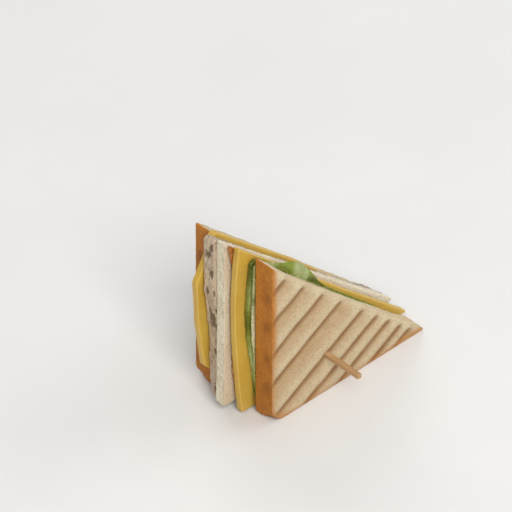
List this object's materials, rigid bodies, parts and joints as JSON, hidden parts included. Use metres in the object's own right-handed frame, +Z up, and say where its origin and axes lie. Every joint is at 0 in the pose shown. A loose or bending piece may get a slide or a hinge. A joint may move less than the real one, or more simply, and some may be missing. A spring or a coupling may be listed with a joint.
{
  "type": "club sandwich half",
  "caption": "Diagonal half of a grilled club sandwich with lettuce, cheese, bacon, chicken and plain bread between toasts, standing on a crust and held by a square wooden pick.",
  "frame": {"origin": "middle of the overall box, at the level of the table that the crusts stand on", "axes": "+X along the crust leg that lies on the table, towards its sharp tip; +Y through the stack, from the grilled face that the pick stands out of to the back slice; +Z up the crust leg that stands"},
  "size_m": [0.134, 0.0834, 0.1212],
  "materials": {
    "toast": "grilled sandwich bread, dry and porous, browned in ridges, with a brown crust",
    "bread": "plain white bread, soft and matt",
    "cheese": "smooth waxy cheese slice, slightly glossy",
    "lettuce": "thin crisp leaf, satin, dark green to pale at the rib",
    "bacon": "fried rasher, reddish brown, a little greasy",
    "chicken": "cooked chicken, moist and fibrous, with pepper",
    "pick_wood": "bare light wood with fine grain"
  },
  "bodies": {
    "root": {"top_toast": "toast", "lettuce": "lettuce", "upper_cheese": "cheese", "bacon": "bacon", "middle_bread": "bread", "chicken": "chicken", "lower_cheese": "cheese", "bottom_toast": "toast", "pick": "pick_wood"}
  },
  "joints": []
}
